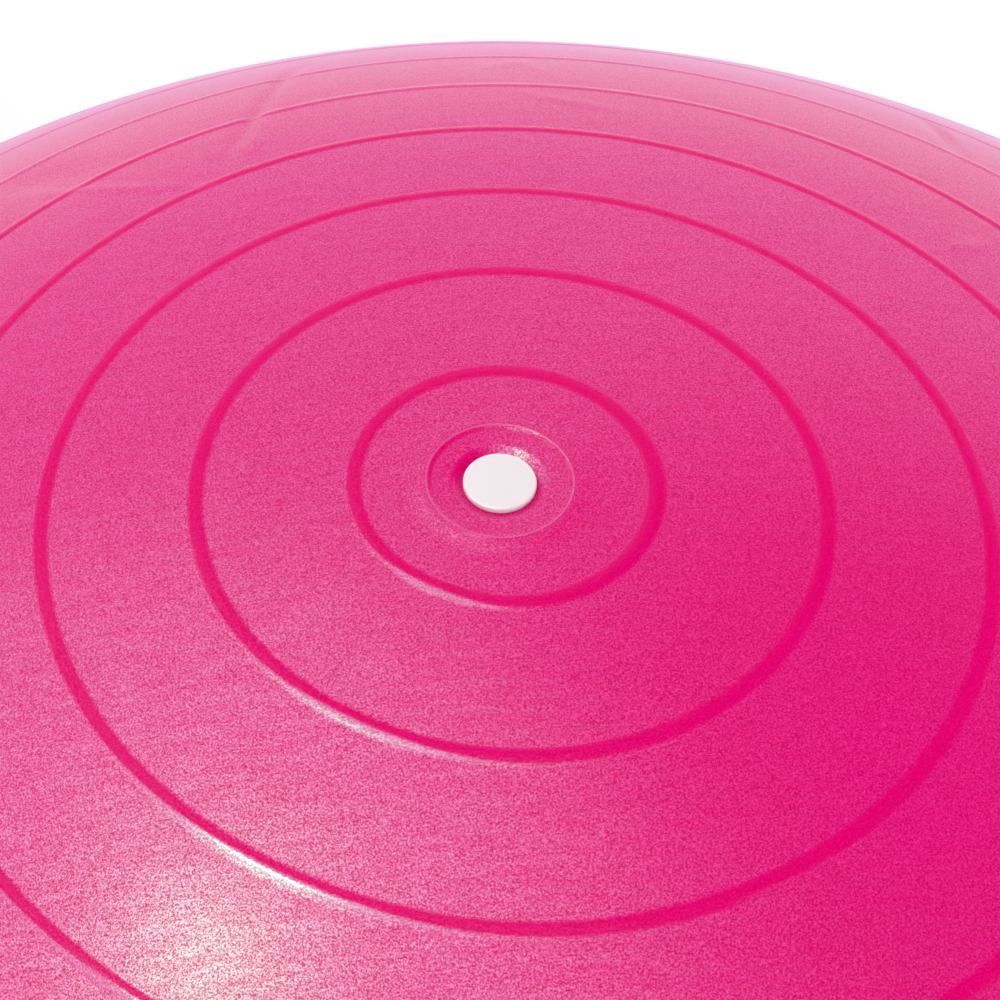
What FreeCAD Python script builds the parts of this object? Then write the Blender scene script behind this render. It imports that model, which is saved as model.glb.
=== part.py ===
import FreeCAD, Part
import math
import os
import Sketcher

# Exercise ball: an inflated PVC skin with concentric grip ribs, a valve seat moulded into it and a push-in
# plug. Origin: centre of the flat patch that the ball rests on. +Z: up, through the valve. Millimetres.
# A name that ends in _depth is a level below the crown, the skin's highest point, where the valve is.

SIZES = {
    # skin, and the patch where the ball's weight flattens it on the floor
    "skin_radius": 325.0,
    "wall_thickness": 0.9,
    "floor_sag": 2.2,
    "floor_tool_radius": 50.0,
    # ribs: rings of one round section, counted from the valve and spaced evenly along the skin
    "rib_count": 12,
    "first_rib_angle": 5.08,
    "rib_step_angle": 5.6,
    "rib_section_radius": 10.0,
    "rib_rise": 0.2,
    # valve seat: its rim stands a little above the skin, and its face dishes down to the plug's recess
    "seat_face_radius": 14.3,
    "seat_rim_depth": 0.12,
    "dish_radius": 9.3,
    "dish_depth": 0.64,
    "seat_flange_radius": 20.0,
    "seat_flange_depth": 2.1,
    "seat_hub_radius": 11.0,
    "seat_hub_depth": 5.5,
    "recess_radius": 7.3,
    "recess_depth": 1.65,
    "neck_radius": 7.0,
    "neck_depth": 23.5,
    "bore_radius": 4.75,
    # valve plug
    "head_top_depth": 0.25,
    "head_underside_depth": 1.6,
    "head_radius": 7.0,
    "head_edge_round": 0.45,
    "stem_radius": 4.7,
    "stem_taper_depth": 20.0,
    "stem_end_depth": 23.0,
    "tip_radius": 3.4,
    # grip grooves around the stem
    "groove_floor_radius": 4.2,
    "groove_top_depth": 5.4,
    "groove_bottom_depth": 6.8,
    "groove_count": 5,
    "groove_pitch": 3.1,
}

ROOT_POINT = (-1, 1)
UPRIGHT_AXIS = -2
START, END, CENTRE = 1, 2, 3
TOUCH = 1e-6

doc = FreeCAD.newDocument("exercise_ball")


def fill_sheet():
    """Puts each driving dimension in a named cell."""
    sheet = doc.addObject("Spreadsheet::Sheet", "Sizes")
    for row, (name, value) in enumerate(SIZES.items(), start=1):
        sheet.set(f"A{row}", name)
        sheet.set(f"B{row}", str(value))
        sheet.setAlias(f"B{row}", name)
    doc.recompute()


def new_body(name):
    """A body modelled about the ball's centre, and lifted so that the ball rests at height zero."""
    body = doc.addObject("PartDesign::Body", name)
    body.Label = name
    body.setExpression("Placement.Base.z", "Sizes.skin_radius - Sizes.floor_sag")
    return body


def origin_plane(body, role):
    """One of the body's own origin planes."""
    return next(feature for feature in body.Origin.OriginFeatures if feature.Role == role)


def new_sketch(body, name):
    """A sketch on the body's XZ plane: x is the distance from the ball's axis and y the height."""
    sketch = body.newObject("Sketcher::SketchObject", name)
    sketch.AttachmentSupport = (origin_plane(body, "XZ_Plane"), [""])
    sketch.MapMode = "FlatFace"
    return sketch


def drive(sketch, kind, *where, value, expression):
    """Adds a constraint of this kind and binds its value to the sheet."""
    index = sketch.addConstraint(Sketcher.Constraint(kind, *where, value))
    sketch.setExpression(f"Constraints[{index}]", expression)


def level(depth):
    """The height of a level and its expression. A depth of None is the crown itself."""
    if depth is None:
        return SIZES["skin_radius"], "Sizes.skin_radius"
    return SIZES["skin_radius"] - SIZES[depth], f"Sizes.skin_radius - Sizes.{depth}"


def draw_section(sketch, corners, arcs):
    """Half a section, closed, through corners given as (distance from the axis, depth).

    arcs gives the edges that follow the ball, by the number of their first corner, each with the depth
    of its arc. A corner on such an edge has no depth of its own, and a corner on the axis no distance.
    """
    count = len(corners)
    places = []
    for number, (distance, depth) in enumerate(corners):
        across = SIZES[distance] if distance else 0.0
        if number in arcs or number - 1 in arcs:
            radius = level(arcs.get(number, arcs.get(number - 1)))[0]
            places.append(FreeCAD.Vector(across, math.sqrt(radius**2 - across**2)))
        else:
            places.append(FreeCAD.Vector(across, level(depth)[0]))
    turns = {}
    for number, start in enumerate(places):
        end = places[(number + 1) % count]
        if number not in arcs:
            sketch.addGeometry(Part.LineSegment(start, end), False)
            turns[number] = (START, END)
            continue
        radius, expression = level(arcs[number])
        circle = Part.Circle(FreeCAD.Vector(), FreeCAD.Vector(0, 0, 1), radius)
        angles = [math.atan2(place.y, place.x) for place in (start, end)]
        sketch.addGeometry(Part.ArcOfCircle(circle, min(angles), max(angles)), False)
        turns[number] = (END, START) if angles[1] < angles[0] else (START, END)
        sketch.addConstraint(Sketcher.Constraint("Coincident", number, CENTRE, *ROOT_POINT))
        drive(sketch, "Radius", number, value=radius, expression=expression)
    for number, (distance, depth) in enumerate(corners):
        before = (number - 1) % count
        first = turns[number][0]
        sketch.addConstraint(Sketcher.Constraint("Coincident", before, turns[before][1], number, first))
        if distance:
            drive(sketch, "DistanceX", *ROOT_POINT, number, first,
                  value=places[number].x, expression=f"Sizes.{distance}")
        else:
            sketch.addConstraint(Sketcher.Constraint("PointOnObject", number, first, UPRIGHT_AXIS))
        if number not in arcs and before not in arcs:
            height, expression = level(depth)
            drive(sketch, "DistanceY", *ROOT_POINT, number, first, value=height, expression=expression)


def revolve(body, kind, name, sketch):
    """Turns a sketch once around the ball's axis, to add or take away material."""
    feature = body.newObject(kind, name)
    feature.Profile = sketch
    feature.ReferenceAxis = (sketch, ["V_Axis"])
    feature.Angle = 360.0
    sketch.Visibility = False
    return feature


def primitive(body, kind, name, **expressions):
    """A primitive feature whose sizes are all bound to the sheet."""
    feature = body.newObject(kind, name)
    for size, expression in expressions.items():
        feature.setExpression(size.replace("_", "."), expression)
    return feature


def takes_away(body, feature):
    """Stops the build unless the body's last feature removed some material."""
    before = body.Shape.Volume
    body.Tip = feature
    doc.recompute()
    if not body.Shape.Volume < before - TOUCH:
        raise RuntimeError(f"{feature.Name} removes nothing")


def make_ribs(body):
    """The ribs of the valve's side, and their mirror images on the floor's side."""
    sketch = new_sketch(body, "rib_sections")
    middle = SIZES["skin_radius"] + SIZES["rib_rise"] - SIZES["rib_section_radius"]
    middle_expression = "(Sizes.skin_radius + Sizes.rib_rise - Sizes.rib_section_radius)"
    for number in range(SIZES["rib_count"]):
        angle = math.radians(SIZES["first_rib_angle"] + number * SIZES["rib_step_angle"])
        angle_expression = f"(Sizes.first_rib_angle + {number} * Sizes.rib_step_angle)"
        place = FreeCAD.Vector(middle * math.sin(angle), middle * math.cos(angle))
        section = Part.Circle(place, FreeCAD.Vector(0, 0, 1), SIZES["rib_section_radius"])
        sketch.addGeometry(section, False)
        drive(sketch, "Radius", number,
              value=SIZES["rib_section_radius"], expression="Sizes.rib_section_radius")
        drive(sketch, "DistanceX", *ROOT_POINT, number, CENTRE,
              value=place.x, expression=f"{middle_expression} * sin({angle_expression})")
        drive(sketch, "DistanceY", *ROOT_POINT, number, CENTRE,
              value=place.y, expression=f"{middle_expression} * cos({angle_expression})")
    ribs = revolve(body, "PartDesign::Revolution", "valve_side_ribs", sketch)
    mirrored = body.newObject("PartDesign::Mirrored", "floor_side_ribs")
    mirrored.Originals = [ribs]
    mirrored.MirrorPlane = (origin_plane(body, "XY_Plane"), [""])
    body.Tip = mirrored
    doc.recompute()


def make_ball_shell():
    """The skin: one hollow moulding, ribbed outside, flattened at the floor and open at the valve."""
    body = new_body("ball_shell")
    primitive(body, "PartDesign::AdditiveSphere", "outside", Radius="Sizes.skin_radius")
    make_ribs(body)
    floor = primitive(
        body, "PartDesign::SubtractiveCylinder", "floor_patch",
        Radius="Sizes.floor_tool_radius",
        Height="Sizes.floor_sag + Sizes.rib_rise",
        Placement_Base_z="-Sizes.skin_radius - Sizes.rib_rise",
    )
    takes_away(body, floor)
    inner_radius = "(Sizes.skin_radius - Sizes.wall_thickness)"
    inner_floor = "(Sizes.skin_radius - Sizes.floor_sag - Sizes.wall_thickness)"
    cavity = primitive(
        body, "PartDesign::SubtractiveSphere", "air_space",
        Radius=inner_radius,
        Angle1=f"-asin({inner_floor} / {inner_radius})",
    )
    takes_away(body, cavity)
    opening = primitive(
        body, "PartDesign::SubtractiveCylinder", "seat_opening",
        Radius="Sizes.seat_face_radius",
        Height="Sizes.seat_hub_depth",
        Placement_Base_z="Sizes.skin_radius - Sizes.seat_flange_depth",
    )
    takes_away(body, opening)
    return body


def make_valve_seat():
    """The insert that the plug fits: dished face, flange under the skin, hub around the recess, neck."""
    body = new_body("valve_seat")
    sketch = new_sketch(body, "seat_section")
    corners = [
        ("bore_radius", "recess_depth"),
        ("recess_radius", "recess_depth"),
        ("dish_radius", "dish_depth"),
        ("seat_face_radius", "seat_rim_depth"),
        ("seat_face_radius", None),
        ("seat_flange_radius", None),
        ("seat_flange_radius", None),
        ("seat_hub_radius", None),
        ("seat_hub_radius", "seat_hub_depth"),
        ("neck_radius", "seat_hub_depth"),
        ("neck_radius", "neck_depth"),
        ("bore_radius", "neck_depth"),
    ]
    draw_section(sketch, corners, arcs={4: "wall_thickness", 6: "seat_flange_depth"})
    revolve(body, "PartDesign::Revolution", "seat_solid", sketch)
    return body


def make_valve_plug():
    """The push-in plug: a flat head with a rounded edge, and a stem with grip grooves and a tapered tip."""
    body = new_body("valve_plug")
    sketch = new_sketch(body, "plug_section")
    corners = [
        (None, "head_top_depth"),
        ("head_radius", "head_top_depth"),
        ("head_radius", "head_underside_depth"),
        ("stem_radius", "head_underside_depth"),
        ("stem_radius", "stem_taper_depth"),
        ("tip_radius", "stem_end_depth"),
        (None, "stem_end_depth"),
    ]
    draw_section(sketch, corners, arcs={})
    revolve(body, "PartDesign::Revolution", "plug_solid", sketch)
    doc.recompute()

    groove_sketch = new_sketch(body, "groove_section")
    groove_corners = [
        ("groove_floor_radius", "groove_top_depth"),
        ("head_radius", "groove_top_depth"),
        ("head_radius", "groove_bottom_depth"),
        ("groove_floor_radius", "groove_bottom_depth"),
    ]
    draw_section(groove_sketch, groove_corners, arcs={})
    groove = revolve(body, "PartDesign::Groove", "grip_groove", groove_sketch)
    takes_away(body, groove)

    grooves = body.newObject("PartDesign::LinearPattern", "grip_grooves")
    grooves.Originals = [groove]
    grooves.Direction = (groove_sketch, ["V_Axis"])
    grooves.Reversed = True
    grooves.setExpression("Occurrences", "Sizes.groove_count")
    grooves.setExpression("Length", "(Sizes.groove_count - 1) * Sizes.groove_pitch")
    takes_away(body, grooves)

    rim = body.newObject("PartDesign::Fillet", "head_edge")
    rim.Base = (grooves, [head_rim(grooves.Shape)])
    rim.setExpression("Radius", "Sizes.head_edge_round")
    takes_away(body, rim)
    return body


def head_rim(shape):
    """The name of the round edge at the top of the plug's head."""
    top = level("head_top_depth")[0]
    for number, edge in enumerate(shape.Edges, start=1):
        if isinstance(edge.Curve, Part.Circle) and abs(edge.Curve.Center.z - top) < TOUCH:
            return f"Edge{number}"
    raise RuntimeError("the plug's head has no rim")


def check_objects(parts):
    """Stops the build if a feature failed or a piece isn't a valid solid."""
    for item in doc.Objects:
        if "Invalid" in item.State or "Error" in item.State:
            raise RuntimeError(f"{item.Name} failed: {item.State}")
    for part in parts:
        shape = part.Shape
        if shape.isNull() or not shape.isValid() or len(shape.Solids) != 1:
            raise RuntimeError(f"{part.Label} isn't one valid solid")


fill_sheet()
pieces = [make_ball_shell(), make_valve_seat(), make_valve_plug()]
doc.recompute()
check_objects(pieces)

os.makedirs("parts", exist_ok=True)
for piece in pieces:
    piece.Shape.exportStep(f"parts/{piece.Label}.step")
    box = piece.Shape.BoundBox
    print(f"{piece.Label}: volume {piece.Shape.Volume:.1f}")
    print(f"    z {box.ZMin:.2f} to {box.ZMax:.2f}, x {box.XLength:.2f}")
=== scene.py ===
import math

import bpy
import numpy as np
from mathutils import Matrix, Vector


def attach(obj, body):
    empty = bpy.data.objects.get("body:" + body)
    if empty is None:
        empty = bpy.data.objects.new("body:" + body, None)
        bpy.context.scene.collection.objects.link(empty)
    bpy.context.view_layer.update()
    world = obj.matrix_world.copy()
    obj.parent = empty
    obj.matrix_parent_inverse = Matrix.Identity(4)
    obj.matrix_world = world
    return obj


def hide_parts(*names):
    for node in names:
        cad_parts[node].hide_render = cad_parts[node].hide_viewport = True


# Looks for the exercise ball: a pebbled PVC skin with smooth ribs, a dished valve seat and a
# white plug. Lengths are in metres, and names that end in _MM or _mm are in millimetres. Angles
# are in degrees here at the top.

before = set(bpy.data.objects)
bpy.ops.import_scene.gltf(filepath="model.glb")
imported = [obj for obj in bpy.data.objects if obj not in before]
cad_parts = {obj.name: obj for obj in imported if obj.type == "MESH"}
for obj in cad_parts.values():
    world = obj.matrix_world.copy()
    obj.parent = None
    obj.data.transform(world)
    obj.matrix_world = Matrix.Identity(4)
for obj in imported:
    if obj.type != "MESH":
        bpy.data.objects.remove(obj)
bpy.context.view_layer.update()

MM = 0.001

# The ball, as the frame has it: its centre stands one sagged radius above the floor.
SKIN_RADIUS = 0.325
FLOOR_SAG = 0.0022
WALL = 0.0009
CENTRE = Vector((0.0, 0.0, SKIN_RADIUS - FLOOR_SAG))
CROWN_Z = CENTRE.z + SKIN_RADIUS

# Columns of the round meshes, and the spacing of the skin's rows, which is fine down to
# FINE_UNTIL degrees from the valve.
AZIMUTHS = 720
SEAT_AZIMUTHS = 192
INNER_ROWS = 61
FINE_UNTIL = 46.0
FINE_STEP_MM = 1.8
COARSE_STEP_MM = 6.0

# Ribs, counted from the valve, and their mirror images on the floor's side. A rib has a smooth
# band along it, whose darker colour is painted shade. Towards one azimuth, where the lamp's glow
# falls, its outer flank gets a painted highlight and the band's painted shade lies further in.
RIB_COUNT = 12
FIRST_RIB = 5.08
RIB_STEP = 5.6
RIB_RISE_MM = 0.2
RIB_REACH_MM = 2.2
RIB_SAMPLES_MM = (0.2, 2.4, 12)
RIB_BAND_MM = 1.5
RIB_BAND_BLUR_MM = 0.8
BRIGHT_FLANK_AZIMUTH = -122.0
BRIGHT_FLANK_SPREAD = 19.0
FLANK_GROWS_BAND = 0.35
FLANK_CUTS_BAND = 1.15

# The seat's rim, and the low collar of skin around it, with a pale painted highlight on one side.
SEAT_RADIUS_MM = 14.3
COLLAR_RISE_MM = 0.35
COLLAR_WIDTH_MM = 4.5
COLLAR_ROWS_MM = (0.3, 0.6, 0.9, 1.2, 1.6, 2.2, 3.0)
COLLAR_HIGHLIGHT_MM = 0.2
COLLAR_HIGHLIGHT_WIDTH_MM = 0.5
COLLAR_HIGHLIGHT_AZIMUTH = -116.0
COLLAR_HIGHLIGHT_SPREAD = 10.0

# The seat's face, as distances from the axis: the plug's recess, the lip around it, the dish, the
# steep rim and the bead along the rim. The slopes are falls per length, towards the plug.
RECESS_MM = 7.3
LIP_SLOPE = 0.49
LIP_ENDS_MM = 9.0
DISH_STARTS_MM = 9.6
DISH_SLOPE = 0.08
DISH_ENDS_MM = 12.9
RIM_STARTS_MM = 13.4
RIM_SLOPE = 0.30
RIM_MM = 14.28
BEAD_MM = 14.05
BEAD_RISE_MM = 0.12
BEAD_WIDTH_MM = 0.2
BEAD_TINT_WIDTH_MM = 0.16
FACE_POINTS = 71
FACE_DEPTH_MM = 2.0

# The seat below its face: the bore, the neck, the hub and the flange under the skin.
BORE_MM = 4.75
NECK_MM = 7.0
NECK_END_MM = 23.5
HUB_MM = 11.0
HUB_DEPTH_MM = 5.5
FLANGE_MM = 20.0
FLANGE_THICKNESS_MM = 1.2

# Painted shade on the seat, in the ribs' darker colour and duller shine: a dark crescent
# on the lip on one side, and a dark line along the rim apart from a bright spot.
LIP_SHADE_MM = 10.0
LIP_SHADE_FADE_MM = 1.6
LIP_SHADE_AZIMUTH = 138.0
LIP_SHADE_SPREAD = 40.0
RIM_SHADE_MM = 13.5
RIM_SHADE_WIDTH_MM = 0.5
RIM_SHADE_SHARE = 0.7
RIM_SHADE_AZIMUTH = 92.0
RIM_SHADE_REACH = 110.0
RIM_SHADE_FADE = 30.0
BRIGHT_RIM_AZIMUTH = 72.0
BRIGHT_RIM_SPREAD = 14.0

# The plug: its head, and a stem with rounded grooves and a tapered tip. GROOVE_MM and TIP_MM are
# (distance from the axis, depth) points.
HEAD_MM = 7.0
HEAD_TOP_MM = 0.25
HEAD_UNDER_MM = 1.6
HEAD_ROUND_MM = 0.45
UNDER_ROUND_MM = 0.2
STEM_MM = 4.7
GROOVE_MM = ((4.7, -0.1), (4.6, 0.0), (4.2, 0.25), (4.2, 1.15), (4.6, 1.4), (4.7, 1.5))
GROOVE_COUNT = 5
FIRST_GROOVE_MM = 5.4
GROOVE_PITCH_MM = 3.1
TIP_MM = ((4.7, 20.0), (3.7, 22.4), (3.2, 22.9), (2.6, 23.0), (0.0, 23.0))

# The moulded ribs stand a little off the valve's axis, by this much along X and Y, between these
# polar angles. The outer ones stand further off along Y.
DRIFT_MM = (1.5, 0.45)
OUTER_DRIFT_MM = 1.0
OUTER_DRIFT_START = 13.0
OUTER_DRIFT_FULL = 23.0
DRIFT_START = 2.6
DRIFT_FULL = 7.0
DRIFT_FADES = 45.0
DRIFT_END = 80.0

# Light. A haze is a direction, the angles from it where the haze starts and is full, and its
# strength. The lamp's glow lies on the skin nearest the camera, and the light is dim on the
# other side.
WHITE = (1.0, 1.0, 1.0, 1.0)
EVEN_LIGHT = 1.48
REFLECTED = 0.8
REFLECTED_COLOUR = (1.0, 1.0, 1.75, 1.0)
HAZE_COLOUR = (0.45, 1.0, 1.1, 1.0)
LAMP_WAY = (-0.385, 0.01, 0.922)
HAZES = (
    (LAMP_WAY, 34.0, 8.0, 2.0),
    ((-0.55, -0.08, 0.83), 47.0, 38.0, 2.6),
    ((0.02, -0.06, 1.0), 25.0, 5.0, 0.9),
)
DIM_WAY = (0.56, 0.22, 0.8)
DIM_STARTS = 44.0
DIM_FULL = 14.0
DIM_SHARE = 0.05
LIGHTER_WAY = (0.786, 0.618, 0.0)
LIGHTER_BY = 0.36
FLOOR_HALF = 30.0
FLOOR_Z = -0.0002
LAMP_COLOUR = (1.0, 1.0, 0.72)
LAMP_SIZE = 0.3
LAMP_WATTS = 24.0
LAMP_DISTANCE = 2.5
GLOW_PLACE = (-0.17, -0.29, 0.94)

# The camera: its place in ball radii from the ball's centre, its own right and back directions,
# its lens, and how far it may move before the lens shift is dropped.
CAMERA_PLACE = (-0.1433, -1.2356, 2.4775)
CAMERA_RIGHT = (0.9947, 0.0001, -0.1032)
CAMERA_BACK = (0.0679, -0.7533, 0.6542)
CAMERA_LENS = 115.1
CAMERA_SENSOR = 36.0
CAMERA_SHIFT = (0.5, -0.5)
CAMERA_REACH = 0.05

# The skin's colours: the grain's dark pits, its middle and its pale tips, partly painted shade and
# light on the pebbles over a random tone, the clouding, the rib bands' painted shade, the rim
# bead's tint, which is also the collar's painted highlight, and the tints of its two kinds of
# shine.
PIT_COLOUR = (0.57, 0.0, 0.094, 1.0)
SKIN_COLOUR = (0.73, 0.0, 0.176, 1.0)
TIP_COLOUR = (0.89, 0.014, 0.264, 1.0)
CLOUD_COLOUR = (0.71, 0.003, 0.165, 1.0)
RIB_SHADE_COLOUR = (0.70, 0.0, 0.12, 1.0)
BEAD_AND_HIGHLIGHT_COLOUR = (0.80, 0.14, 0.36, 1.0)
SHINE_TINT = (0.1, 1.0, 0.88, 1.0)
SHEEN_TINT = (0.8, 0.62, 1.0, 1.0)

# Soft creases left by packing the ball flat. Each runs through (polar angle, azimuth) points on the
# skin, the azimuth counted from +X towards +Y.
CREASES = [
    {"through": [(31.3, 126.9), (27.2, 123.5), (24.0, 119.4), (21.3, 114.5)],
     "rise_mm": 0.2, "width_mm": 1.5, "breaks_rib": 0.3},
    {"through": [(33.0, 125.0), (27.5, 120.5)],
     "rise_mm": -0.6, "width_mm": 9.0, "breaks_rib": 0.0},
    {"through": [(22.6, 113.5), (27.4, 105.9), (32.9, 100.7), (36.5, 97.5)],
     "rise_mm": -0.6, "width_mm": 1.8, "breaks_rib": 0.85},
    {"through": [(23.2, 109.5), (25.4, 106.6)],
     "rise_mm": 0.25, "width_mm": 1.6, "breaks_rib": 0.0},
    {"through": [(26.7, 82.6), (25.7, 76.5), (25.0, 70.3)],
     "rise_mm": 0.18, "width_mm": 2.0, "breaks_rib": 0.0},
    {"through": [(30.4, 85.1), (32.1, 81.8), (28.9, 78.3)],
     "rise_mm": 0.2, "width_mm": 2.0, "breaks_rib": 0.0},
    {"through": [(39.0, 54.0), (36.0, 50.3), (33.4, 47.6)],
     "rise_mm": -0.6, "width_mm": 1.8, "breaks_rib": 0.7},
    {"through": [(23.4, 36.9), (26.2, 35.6)],
     "rise_mm": 0.25, "width_mm": 2.0, "breaks_rib": 0.0},
    {"through": [(16.5, -72.0), (16.62, -62.0), (16.8, -53.0), (17.15, -45.0)],
     "rise_mm": -0.12, "width_mm": 0.6, "breaks_rib": 0.9},
]


def unit_directions(polar, azimuth):
    """Directions from the ball's centre, for polar angles and azimuths in radians."""
    return np.stack(
        [
            np.sin(polar) * np.cos(azimuth),
            np.sin(polar) * np.sin(azimuth),
            np.cos(polar) * np.ones_like(azimuth),
        ],
        axis=-1,
    )


def turn_from(degrees, centre):
    """How far these azimuths lie from a centre, in degrees from -180 to 180."""
    return (degrees - centre + 180.0) % 360.0 - 180.0


def bell(offset, width):
    """A bell curve: 1 at no offset, fading over this width."""
    return np.exp(-((offset / width) ** 2))


def rib_angles():
    """Polar angles of every rib's crest, in degrees."""
    upper = [FIRST_RIB + RIB_STEP * number for number in range(RIB_COUNT)]
    return upper + [180.0 - angle for angle in reversed(upper)]


def rib_rise(offset_mm):
    """The height of a rib at this distance along the skin from its crest: a low, soft swelling."""
    share = np.clip(np.abs(offset_mm) / RIB_REACH_MM, 0.0, 1.0)
    return RIB_RISE_MM * np.cos(share * math.pi / 2) ** 2


def rib_bands(polar, azimuth):
    """How much the skin belongs to a rib's smooth band (painted shade), and how much to its outer
    flank's painted highlight.
    """
    offsets_mm = (polar[:, None] - np.radians(rib_angles())[None, :]) * SKIN_RADIUS / MM
    nearest = np.abs(offsets_mm).argmin(axis=1)[:, None]
    offset_mm = np.take_along_axis(offsets_mm, nearest, axis=1)
    turn = turn_from(np.degrees(azimuth), BRIGHT_FLANK_AZIMUTH)
    flank_share = bell(turn, BRIGHT_FLANK_SPREAD)[None, :]
    # Towards the lamp, the band's painted shade reaches further in and leaves the outer flank to
    # the painted highlight.
    inner_edge_mm = -RIB_BAND_MM * (1.0 + FLANK_GROWS_BAND * flank_share)
    inner_side = np.clip(0.5 + (offset_mm - inner_edge_mm) / RIB_BAND_BLUR_MM, 0.0, 1.0)
    whole_side = np.clip(0.5 + (RIB_BAND_MM - offset_mm) / RIB_BAND_BLUR_MM, 0.0, 1.0)
    edge_mm = RIB_BAND_MM * (1.0 - FLANK_CUTS_BAND * flank_share)
    outer_side = np.clip(0.5 + (edge_mm - offset_mm) / RIB_BAND_BLUR_MM, 0.0, 1.0)
    return inner_side * outer_side, inner_side * (whole_side - outer_side)


def rib_offsets():
    """Where a rib's section is sampled, in millimetres from its crest."""
    half = np.linspace(*RIB_SAMPLES_MM)
    return np.concatenate([-half[::-1], [0.0], half])


def polar_samples(start):
    """Polar angles of the skin's rows, in degrees: close on the ribs and finer near the valve."""
    per_mm = math.degrees(MM / SKIN_RADIUS)
    rows = {round(start + offset * per_mm, 5) for offset in (0.0,) + COLLAR_ROWS_MM} | {180.0}
    for angle in rib_angles():
        rows.update(round(angle + offset * per_mm, 5) for offset in rib_offsets())
    rows = sorted(row for row in rows if start <= row <= 180.0)
    filled = []
    for here, after in zip(rows, rows[1:]):
        step = (FINE_STEP_MM if here < FINE_UNTIL else COARSE_STEP_MM) * per_mm
        parts = max(1, math.ceil((after - here) / step))
        filled.extend(here + (after - here) * part / parts for part in range(parts))
    return np.array(filled + [180.0])


def crease_shape(directions):
    """The creases' rise in these directions, in millimetres, and how much of a rib is left."""
    height = np.zeros(directions.shape[:-1])
    rib_left = np.ones(directions.shape[:-1])
    for crease in CREASES:
        points = [unit_directions(*np.radians(np.array(point))) for point in crease["through"]]
        nearest = np.full(height.shape, np.inf)
        along = np.zeros(height.shape)
        pieces = len(points) - 1
        for number, (start, end) in enumerate(zip(points, points[1:])):
            run = end - start
            share = np.clip(((directions - start) @ run) / (run @ run), 0.0, 1.0)
            away = np.linalg.norm(directions - (start + share[..., None] * run), axis=-1)
            along = np.where(away < nearest, (number + share) / pieces, along)
            nearest = np.minimum(nearest, away)
        closeness = bell(nearest * SKIN_RADIUS / MM, crease["width_mm"])
        height += crease["rise_mm"] * np.sin(np.pi * np.clip(along, 0.04, 0.96)) * closeness
        fading_in = np.clip(3.0 * np.sin(np.pi * np.clip(along, 0.0, 1.0)), 0.0, 1.0)
        rib_left *= 1.0 - crease["breaks_rib"] * closeness * fading_in
    return height, rib_left


def drift_share(polar):
    """How much of the ribs' drift holds at these polar angles, in degrees."""
    rising = np.clip((polar - DRIFT_START) / (DRIFT_FULL - DRIFT_START), 0.0, 1.0)
    falling = np.clip((DRIFT_END - polar) / (DRIFT_END - DRIFT_FADES), 0.0, 1.0)
    return rising * rising * (3 - 2 * rising) * falling * falling * (3 - 2 * falling)


def new_object(name, verts, faces, sharp_angle=None):
    """A smooth-shaded mesh object."""
    mesh = bpy.data.meshes.new(name)
    mesh.from_pydata(verts.tolist(), [], faces)
    mesh.update()
    mesh.shade_smooth()
    if sharp_angle is not None:
        mesh.set_sharp_from_angle(angle=math.radians(sharp_angle))
    made = bpy.data.objects.new(name, mesh)
    bpy.context.scene.collection.objects.link(made)
    return made


def add_mask(obj, name, values):
    """Gives a mesh one number per vertex, which the skin's material reads by name."""
    made = obj.data.attributes.new(name, "FLOAT", "POINT")
    made.data.foreach_set("value", values.astype(np.float32))


def band_faces(first_row, rows, columns, flip=False):
    """Quads between consecutive rows of a grid that closes on itself."""
    row = first_row + np.arange(rows - 1)[:, None] * columns
    column = np.arange(columns)[None, :]
    after = (column + 1) % columns
    below = row + columns
    quads = np.stack([row + column, below + column, below + after, row + after], axis=-1)
    quads = quads.reshape(-1, 4)
    return (quads[:, ::-1] if flip else quads).tolist()


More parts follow.
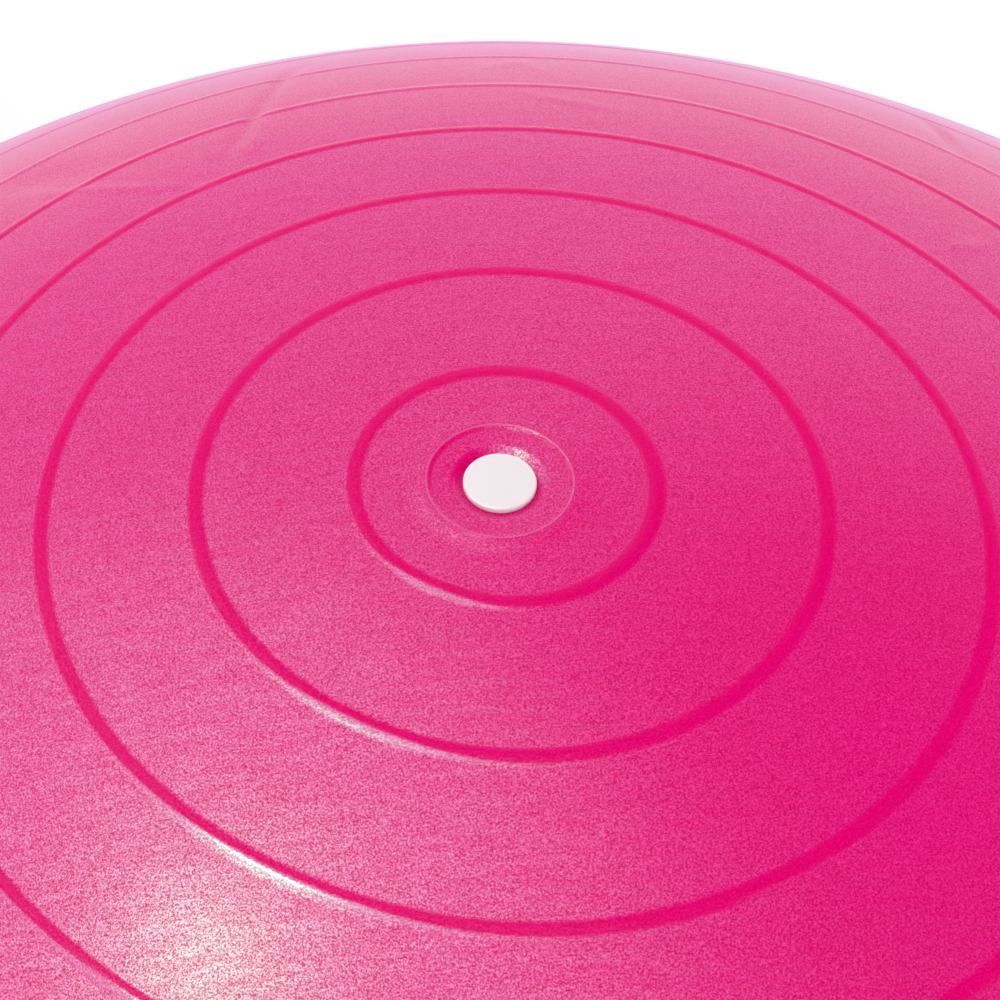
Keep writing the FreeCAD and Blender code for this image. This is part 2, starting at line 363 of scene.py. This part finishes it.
def make_skin():
    """The ribbed skin with its wall: an outside and an inside, joined at the seat's opening."""
    start = math.degrees(math.asin(SEAT_RADIUS_MM * MM / SKIN_RADIUS))
    polar = np.radians(polar_samples(start)[:-1])
    azimuth = np.linspace(0.0, 2 * math.pi, AZIMUTHS, endpoint=False)
    directions = unit_directions(polar[:, None], azimuth[None, :])

    ribs_mm = np.zeros(len(polar))
    for angle in rib_angles():
        ribs_mm += rib_rise((polar - math.radians(angle)) * SKIN_RADIUS / MM)
    past_rim_mm = np.sin(polar) * SKIN_RADIUS / MM - SEAT_RADIUS_MM
    collar_mm = np.where(
        polar < math.pi / 2,
        COLLAR_RISE_MM * np.exp(-((np.maximum(past_rim_mm, 0.0) / COLLAR_WIDTH_MM) ** 2) * 3.0),
        0.0,
    )
    share = drift_share(np.degrees(polar))
    outer_reach = (OUTER_DRIFT_START, OUTER_DRIFT_FULL)
    outer_mm = np.interp(np.degrees(polar), outer_reach, (0.0, OUTER_DRIFT_MM))
    for axis, drift_mm in enumerate((DRIFT_MM[0], DRIFT_MM[1] + outer_mm)):
        directions[..., axis] += (share * drift_mm * MM / SKIN_RADIUS)[:, None]
    directions /= np.linalg.norm(directions, axis=-1, keepdims=True)
    crease_mm, rib_left = crease_shape(directions)
    height_mm = ribs_mm[:, None] * rib_left + collar_mm[:, None] + crease_mm
    outside = directions * (SKIN_RADIUS + height_mm[..., None] * MM)
    outside[..., 2] = np.maximum(outside[..., 2] + CENTRE.z, 0.0)

    inner_polar = np.linspace(polar[0], math.pi, INNER_ROWS)[:-1]
    inside = unit_directions(inner_polar[:, None], azimuth[None, :]) * (SKIN_RADIUS - WALL)
    inside[..., 2] = np.maximum(inside[..., 2] + CENTRE.z, WALL)

    outer_count, inner_count = len(polar), len(inner_polar)
    poles = [[0, 0, 0], [0, 0, WALL]]
    verts = np.concatenate([outside.reshape(-1, 3), inside.reshape(-1, 3), poles])
    inner_first = outer_count * AZIMUTHS
    outer_pole = (outer_count + inner_count) * AZIMUTHS
    inner_pole = outer_pole + 1
    faces = band_faces(0, outer_count, AZIMUTHS)
    faces += band_faces(inner_first, inner_count, AZIMUTHS, flip=True)
    last_outer, last_inner = inner_first - AZIMUTHS, outer_pole - AZIMUTHS
    for column in range(AZIMUTHS):
        after = (column + 1) % AZIMUTHS
        faces.append([column, after, inner_first + after, inner_first + column])
        faces.append([last_outer + column, outer_pole, last_outer + after])
        faces.append([last_inner + after, inner_pole, last_inner + column])
    skin = new_object("skin", verts, faces, sharp_angle=50)

    rib_band, flank = rib_bands(polar, azimuth)
    # A pale painted highlight on the collar, towards the lamp, stored in the skin's "bead" mask.
    turn = turn_from(np.degrees(azimuth), COLLAR_HIGHLIGHT_AZIMUTH)
    past_crown_mm = np.where(polar < math.pi / 2, past_rim_mm, np.inf)
    highlight_row = bell(past_crown_mm - COLLAR_HIGHLIGHT_MM, COLLAR_HIGHLIGHT_WIDTH_MM)
    bead = highlight_row[:, None] * bell(turn, COLLAR_HIGHLIGHT_SPREAD)[None, :]
    for name, band in (("rib", rib_band), ("flank", flank), ("bead", bead)):
        values = np.zeros(len(verts), np.float32)
        values[:inner_first] = (band * rib_left).ravel()
        add_mask(skin, name, values)
    return skin


def lathe(name, outline_mm, columns, sharp_angle):
    """Turns a closed outline of (distance from the axis, depth below the crown) around the axis."""
    azimuth = np.linspace(0.0, 2 * math.pi, columns, endpoint=False)
    on_axis = [abs(distance) < 1e-9 for distance, _ in outline_mm]
    verts, rings = [], []
    for (distance, depth), pole in zip(outline_mm, on_axis):
        height = CROWN_Z - depth * MM
        rings.append(len(verts))
        if pole:
            verts.append((0.0, 0.0, height))
        else:
            across = distance * MM
            verts.extend((across * math.cos(a), across * math.sin(a), height) for a in azimuth)
    faces = []
    count = len(outline_mm)
    for here in range(count):
        there = (here + 1) % count
        if on_axis[here] and on_axis[there]:
            continue
        for column in range(columns):
            after = (column + 1) % columns
            a, b = rings[here], rings[there]
            if on_axis[here]:
                faces.append([a, b + column, b + after])
            elif on_axis[there]:
                faces.append([a + column, b, a + after])
            else:
                faces.append([a + column, b + column, b + after, a + after])
    return new_object(name, np.array(verts), faces, sharp_angle)


def arc_mm(centre, radius, start, end, parts):
    """Points (distance, depth) on an arc, with angles in degrees from straight out, upwards."""
    turn = np.radians(np.linspace(start, end, parts + 1))
    return [(centre[0] + radius * math.cos(a), centre[1] - radius * math.sin(a)) for a in turn]


def seat_face():
    """The seat's face as (distance, depth), outwards: steep lip, gentle dish, steep rim."""
    distance = np.linspace(RECESS_MM, RIM_MM, FACE_POINTS)
    bends = (LIP_ENDS_MM, DISH_STARTS_MM, DISH_ENDS_MM, RIM_STARTS_MM)
    slope = np.interp(distance, bends, (LIP_SLOPE, DISH_SLOPE, DISH_SLOPE, RIM_SLOPE))
    steps = np.diff(distance) * (slope[1:] + slope[:-1]) / 2
    above_recess = np.concatenate([[0.0], np.cumsum(steps)])
    bead = BEAD_RISE_MM * bell(distance - BEAD_MM, BEAD_WIDTH_MM)
    depth = above_recess[-1] - above_recess - bead
    return [(float(across), float(level)) for across, level in zip(distance, depth)]


def sphere_point(distance, radius):
    """The (distance, depth) point of a sphere about the ball's centre, this far from the axis."""
    return distance, SKIN_RADIUS / MM - math.sqrt(radius**2 - distance**2)


def make_seat():
    """The seat moulded into the skin: dished face, flange under the skin, hub and neck."""
    face = seat_face()
    floor_depth = face[0][1]
    inner = SKIN_RADIUS / MM - WALL / MM
    flange = inner - FLANGE_THICKNESS_MM
    outline = [(BORE_MM, floor_depth)] + face
    outline += [sphere_point(RIM_MM, inner), sphere_point(FLANGE_MM, inner)]
    outline += [sphere_point(FLANGE_MM, flange), sphere_point(HUB_MM, flange)]
    outline += [(HUB_MM, HUB_DEPTH_MM), (NECK_MM, HUB_DEPTH_MM)]
    outline += [(NECK_MM, NECK_END_MM), (BORE_MM, NECK_END_MM)]
    seat = lathe("seat", outline[::-1], SEAT_AZIMUTHS, sharp_angle=40)

    points = [vert.co for vert in seat.data.vertices]
    away = np.array([math.hypot(point.x, point.y) for point in points]) / MM
    on_face = np.array([point.z for point in points]) > CROWN_Z - FACE_DEPTH_MM * MM
    azimuth = np.degrees([math.atan2(point.y, point.x) for point in points])
    bead = bell(away - BEAD_MM, BEAD_TINT_WIDTH_MM) * on_face
    # Painted shade: the lip's dark crescent on one side, and the rim's dark line apart from a
    # bright spot.
    lip = np.clip((LIP_SHADE_MM - away) / LIP_SHADE_FADE_MM, 0.0, 1.0)
    lip *= bell(azimuth - LIP_SHADE_AZIMUTH, LIP_SHADE_SPREAD)
    along_rim = np.abs(turn_from(azimuth, RIM_SHADE_AZIMUTH))
    rim = bell(away - RIM_SHADE_MM, RIM_SHADE_WIDTH_MM)
    rim *= np.clip((RIM_SHADE_REACH - along_rim) / RIM_SHADE_FADE, 0.0, 1.0)
    rim *= RIM_SHADE_SHARE * (1.0 - bell(azimuth - BRIGHT_RIM_AZIMUTH, BRIGHT_RIM_SPREAD))
    painted_shade = np.maximum(lip, rim) * on_face
    add_mask(seat, "bead", bead)
    # The seat's painted shade goes in the "rib" mask, so it takes the ribs' darker colour.
    add_mask(seat, "rib", painted_shade)
    return seat


def make_plug():
    """The white plug: flat head with a rounded edge, and a stem with grip grooves."""
    outline = [(0.0, HEAD_TOP_MM), (2.4, HEAD_TOP_MM), (4.8, HEAD_TOP_MM)]
    edge_centre = (HEAD_MM - HEAD_ROUND_MM, HEAD_TOP_MM + HEAD_ROUND_MM)
    outline += arc_mm(edge_centre, HEAD_ROUND_MM, 90.0, 0.0, 8)
    under_centre = (HEAD_MM - UNDER_ROUND_MM, HEAD_UNDER_MM - UNDER_ROUND_MM)
    outline += arc_mm(under_centre, UNDER_ROUND_MM, 0.0, -90.0, 3)
    outline += [(STEM_MM, HEAD_UNDER_MM)]
    for groove in range(GROOVE_COUNT):
        level = FIRST_GROOVE_MM + GROOVE_PITCH_MM * groove
        outline += [(distance, level + below) for distance, below in GROOVE_MM]
    outline += TIP_MM
    return lathe("plug", outline, SEAT_AZIMUTHS, sharp_angle=40)


class Nodes:
    """A material or world node tree, with short calls to add and join nodes."""

    def __init__(self, tree):
        self.tree = tree
        tree.nodes.clear()

    def add(self, kind, settings=None, **inputs):
        made = self.tree.nodes.new(kind)
        for name, value in (settings or {}).items():
            setattr(made, name, value)
        for name, value in inputs.items():
            self.put(made.inputs[name.replace("_", " ")], value)
        return made

    def put(self, socket, value):
        if isinstance(value, bpy.types.NodeSocket):
            self.tree.links.new(value, socket)
        else:
            socket.default_value = value

    def maths(self, operation, first, second=0.5, clamp=False):
        made = self.tree.nodes.new("ShaderNodeMath")
        made.operation = operation
        made.use_clamp = clamp
        self.put(made.inputs[0], first)
        self.put(made.inputs[1], second)
        return made.outputs[0]

    def mix_colour(self, share, first, second):
        made = self.tree.nodes.new("ShaderNodeMix")
        made.data_type = "RGBA"
        self.put(made.inputs[0], share)
        self.put(made.inputs[6], first)
        self.put(made.inputs[7], second)
        return made.outputs[2]

    def ramp(self, value, low, high, to_low=0.0, to_high=1.0, smooth=True):
        made = self.tree.nodes.new("ShaderNodeMapRange")
        made.interpolation_type = "SMOOTHSTEP" if smooth else "LINEAR"
        for socket, number in zip(made.inputs, (value, low, high, to_low, to_high)):
            self.put(socket, number)
        return made.outputs[0]

    def noise(self, coordinates, scale, detail=2.0, roughness=0.5):
        inputs = {"Vector": coordinates, "Scale": scale, "Detail": detail, "Roughness": roughness}
        return self.add("ShaderNodeTexNoise", **inputs).outputs["Fac"]

    def mix(self, share, first, second):
        made = self.tree.nodes.new("ShaderNodeMix")
        self.put(made.inputs[0], share)
        self.put(made.inputs[2], first)
        self.put(made.inputs[3], second)
        return made.outputs[0]

    def dot(self, first, second):
        made = self.add("ShaderNodeVectorMath", {"operation": "DOT_PRODUCT"})
        self.put(made.inputs[0], first)
        self.put(made.inputs[1], second)
        return made.outputs["Value"]

    def attribute(self, name):
        return self.add("ShaderNodeAttribute", {"attribute_name": name}).outputs["Fac"]


def new_material(name):
    material = bpy.data.materials.new(name)
    material.use_nodes = True
    return material, Nodes(material.node_tree)


def skin_material():
    """Soft PVC: a fine pebbled grain over the skin, with smoother ribs whose darker, more saturated
    band is painted shade.
    """
    material, n = new_material("pebbled_pvc")
    place = n.add("ShaderNodeTexCoord").outputs["Object"]
    rib = n.attribute("rib")
    flank = n.attribute("flank")

    grain = n.ramp(n.noise(place, 2700.0, detail=1.0, roughness=0.6), 0.3, 0.7, smooth=False)
    pebble = n.noise(place, 900.0, detail=2.0)
    cloud = n.noise(place, 28.0, detail=3.0)
    stretched = n.add("ShaderNodeMapping", Vector=place, Scale=(0.14, 1.0, 0.14)).outputs[0]
    wisp = n.ramp(n.noise(stretched, 640.0, detail=2.0), 0.35, 0.65, 0.87, 1.13)

    outwards = n.add("ShaderNodeVectorMath", {"operation": "SUBTRACT"})
    n.put(outwards.inputs[0], place)
    n.put(outwards.inputs[1], CENTRE)
    unit = n.add("ShaderNodeVectorMath", {"operation": "NORMALIZE"})
    n.put(unit.inputs[0], outwards.outputs[0])
    facing = n.dot(unit.outputs[0], n.add("ShaderNodeNewGeometry").outputs["Incoming"])
    # The ribs' band, with its painted shade, fades where the skin is seen edge-on.
    rib = n.maths("MULTIPLY", rib, n.ramp(facing, 0.2, 0.34))

    swing = n.maths("MULTIPLY", n.maths("SUBTRACT", grain, 0.5), n.ramp(rib, 0.0, 1.0, 1.0, 0.95))
    tone = n.maths("ADD", swing, 0.5)
    # The grain's dark pits and pale tips are partly painted shade and light on the pebbles, over a
    # random tone.
    speck = n.ramp(tone, 0.0, 0.5, smooth=False)
    colour = n.mix_colour(speck, PIT_COLOUR, SKIN_COLOUR)
    colour = n.mix_colour(n.ramp(tone, 0.5, 1.0, smooth=False), colour, TIP_COLOUR)
    colour = n.mix_colour(n.ramp(cloud, 0.35, 0.65, 0.0, 0.12), colour, CLOUD_COLOUR)
    # The rib band's darker colour is painted shade.
    colour = n.mix_colour(n.maths("MULTIPLY", rib, 0.62), colour, RIB_SHADE_COLOUR)
    # The "bead" mask tints the seat's rim bead, and on the skin it paints a pale highlight on the
    # collar.
    colour = n.mix_colour(n.maths("MULTIPLY", n.attribute("bead"), 0.6), colour, BEAD_AND_HIGHLIGHT_COLOUR)

    height = n.maths("ADD", n.maths("MULTIPLY", grain, 0.4), pebble)
    bump = n.add("ShaderNodeBump", Height=height, Distance=0.00005, Strength=0.4)

    skin_gloss = n.maths("MULTIPLY", n.ramp(tone, 0.1, 0.9, 0.14, 0.86, smooth=False), wisp)
    rib_gloss = n.ramp(tone, 0.0, 1.0, 0.0, 0.14, smooth=False)
    # The outer flank's painted highlight: more shine where the lamp's glow falls.
    flank_gloss = n.ramp(tone, 0.2, 0.8, 0.5, 1.0, smooth=False)
    gloss = n.mix(flank, n.mix(rib, skin_gloss, rib_gloss), flank_gloss)
    roughness = n.ramp(rib, 0.0, 0.6, 0.3, 0.19)
    roughness = n.maths("SUBTRACT", roughness, n.maths("MULTIPLY", flank, 0.06))
    shader = n.add("ShaderNodeBsdfPrincipled", Base_Color=colour, Roughness=roughness)
    n.put(shader.inputs["Normal"], bump.outputs[0])
    n.put(shader.inputs["Specular IOR Level"], gloss)
    n.put(shader.inputs["Specular Tint"], SHINE_TINT)
    n.put(shader.inputs["Sheen Weight"], n.ramp(rib, 0.0, 1.0, 0.68, 0.35))
    n.put(shader.inputs["Sheen Roughness"], 0.2)
    n.put(shader.inputs["Sheen Tint"], SHEEN_TINT)
    n.add("ShaderNodeOutputMaterial", Surface=shader.outputs[0])
    return material


def plug_material():
    """White polyethylene, a little translucent, with a faint moulded grain."""
    material, n = new_material("white_polyethylene")
    place = n.add("ShaderNodeTexCoord").outputs["Object"]
    grain = n.noise(place, 900.0, detail=3.0)
    cloud = n.noise(place, 160.0)
    colour = n.mix_colour(cloud, (0.80, 0.715, 0.725, 1.0), (0.828, 0.748, 0.755, 1.0))
    bump = n.add("ShaderNodeBump", Height=grain, Distance=0.00004, Strength=0.25)
    shader = n.add(
        "ShaderNodeBsdfPrincipled",
        Base_Color=colour,
        Roughness=n.ramp(grain, 0.3, 0.7, 0.3, 0.42),
        Normal=bump.outputs[0],
    )
    shader.inputs["Subsurface Weight"].default_value = 0.25
    shader.inputs["Subsurface Radius"].default_value = (1.0, 0.9, 0.9)
    shader.inputs["Subsurface Scale"].default_value = 0.0012
    n.add("ShaderNodeOutputMaterial", Surface=shader.outputs[0])
    return material


def floor_material():
    """A plain pale floor."""
    material, n = new_material("pale_floor")
    place = n.add("ShaderNodeTexCoord").outputs["Object"]
    colour = n.mix_colour(n.noise(place, 3.0), (0.93, 0.93, 0.93, 1.0), (0.96, 0.96, 0.96, 1.0))
    shader = n.add("ShaderNodeBsdfPrincipled", Base_Color=colour, Roughness=0.8)
    shader.inputs["Specular IOR Level"].default_value = 0.1
    n.add("ShaderNodeOutputMaterial", Surface=shader.outputs[0])
    return material


def make_floor():
    """A wide pale floor, just below the ball."""
    corners = ((-1, -1), (1, -1), (1, 1), (-1, 1))
    verts = np.array([(FLOOR_HALF * x, FLOOR_HALF * y, FLOOR_Z) for x, y in corners])
    floor = new_object("floor", verts, [[0, 1, 2, 3]])
    floor.data.materials.append(floor_material())


def make_world():
    """Even studio light. In reflections it is tinted and has three broad hazes near the lamp."""
    world = bpy.data.worlds.new("studio")
    world.use_nodes = True
    world.cycles.sampling_method = "NONE"
    bpy.context.scene.world = world
    n = Nodes(world.node_tree)
    direction = n.add("ShaderNodeTexCoord").outputs["Generated"]

    def closeness(towards):
        return n.dot(direction, Vector(towards).normalized())

    def cosine(degrees):
        return math.cos(math.radians(degrees))

    haze_levels = []
    for way, starts, full, strength in HAZES:
        level = n.ramp(closeness(way), cosine(starts), cosine(full), 0.0, strength)
        haze_levels.append(level)
    haze_level = n.maths("ADD", n.maths("ADD", haze_levels[0], haze_levels[1]), haze_levels[2])
    light_side = n.ramp(closeness(DIM_WAY), cosine(DIM_STARTS), cosine(DIM_FULL), 1.0, 0.0)
    reflected_level = n.maths("MULTIPLY", light_side, REFLECTED)
    even_level = n.ramp(light_side, 0.0, 1.0, EVEN_LIGHT * DIM_SHARE, EVEN_LIGHT, smooth=False)
    sideways = n.maths("ADD", n.maths("MULTIPLY", closeness(LIGHTER_WAY), LIGHTER_BY), 1.0)
    even_level = n.maths("MULTIPLY", even_level, sideways)
    even = n.add("ShaderNodeBackground", Color=WHITE, Strength=even_level)
    reflected = n.add("ShaderNodeBackground", Color=REFLECTED_COLOUR, Strength=reflected_level)
    haze = n.add("ShaderNodeBackground", Color=HAZE_COLOUR, Strength=haze_level)
    reflected_and_haze = n.tree.nodes.new("ShaderNodeAddShader")
    n.put(reflected_and_haze.inputs[0], reflected.outputs[0])
    n.put(reflected_and_haze.inputs[1], haze.outputs[0])
    mixed = n.tree.nodes.new("ShaderNodeMixShader")
    n.put(mixed.inputs[0], n.add("ShaderNodeLightPath").outputs["Is Glossy Ray"])
    n.put(mixed.inputs[1], even.outputs[0])
    n.put(mixed.inputs[2], reflected_and_haze.outputs[0])
    n.add("ShaderNodeOutputWorld", Surface=mixed.outputs[0])


def aim(obj, target):
    """Turns a lamp towards a point."""
    obj.rotation_mode = "QUATERNION"
    obj.rotation_quaternion = (target - obj.location).to_track_quat("-Z", "Y")


def make_key_light():
    """One soft lamp, high on the ball's left, whose glow lies on the skin nearest the camera."""
    lamp = bpy.data.lights.new("key", "AREA")
    lamp.shape = "DISK"
    lamp.size = LAMP_SIZE
    lamp.energy = LAMP_WATTS
    lamp.color = LAMP_COLOUR
    made = bpy.data.objects.new("key", lamp)
    bpy.context.scene.collection.objects.link(made)
    glow = CENTRE + Vector(GLOW_PLACE) * SKIN_RADIUS
    made.location = glow + Vector(LAMP_WAY).normalized() * LAMP_DISTANCE
    aim(made, glow)
    made.visible_diffuse = False


def make_camera():
    """The photo's camera: close above the ball, looking down over the valve to the far side."""
    data = bpy.data.cameras.new("camera")
    data.sensor_width = CAMERA_SENSOR
    data.lens = CAMERA_LENS
    camera = bpy.data.objects.new("camera", data)
    bpy.context.scene.collection.objects.link(camera)
    back = Vector(CAMERA_BACK).normalized()
    right = Vector(CAMERA_RIGHT)
    right = (right - back * right.dot(back)).normalized()
    axes = Matrix((right, back.cross(right), back)).transposed()
    camera.rotation_mode = "QUATERNION"
    camera.rotation_quaternion = axes.to_quaternion()
    camera.location = CENTRE + Vector(CAMERA_PLACE) * SKIN_RADIUS
    bpy.context.scene.camera = camera
    hold_lens_shift(camera)


def hold_lens_shift(camera):
    """Shifts the lens from this place only: the shift drops to nothing when the camera moves."""
    home = bpy.data.objects.new("camera_home", None)
    bpy.context.scene.collection.objects.link(home)
    home.location = camera.location
    for path, shift in (("shift_x", CAMERA_SHIFT[0]), ("shift_y", CAMERA_SHIFT[1])):
        curve = camera.data.driver_add(path)
        curve.driver.type = "AVERAGE"
        variable = curve.driver.variables.new()
        variable.type = "LOC_DIFF"
        variable.targets[0].id = camera
        variable.targets[1].id = home
        for modifier in list(curve.modifiers):
            curve.modifiers.remove(modifier)
        for distance, value in ((0.0, shift), (CAMERA_REACH, 0.0)):
            curve.keyframe_points.insert(distance, value).interpolation = "CONSTANT"


skin = make_skin()
seat = make_seat()
plug = make_plug()
pvc = skin_material()
skin.data.materials.append(pvc)
seat.data.materials.append(pvc)
plug.data.materials.append(plug_material())

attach(skin, "ball")
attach(seat, "ball")
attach(plug, "plug")
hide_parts("ball_shell")
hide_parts("valve_seat")
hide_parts("valve_plug")

make_floor()
make_world()
make_key_light()
make_camera()

bpy.context.scene.view_settings.view_transform = "Standard"
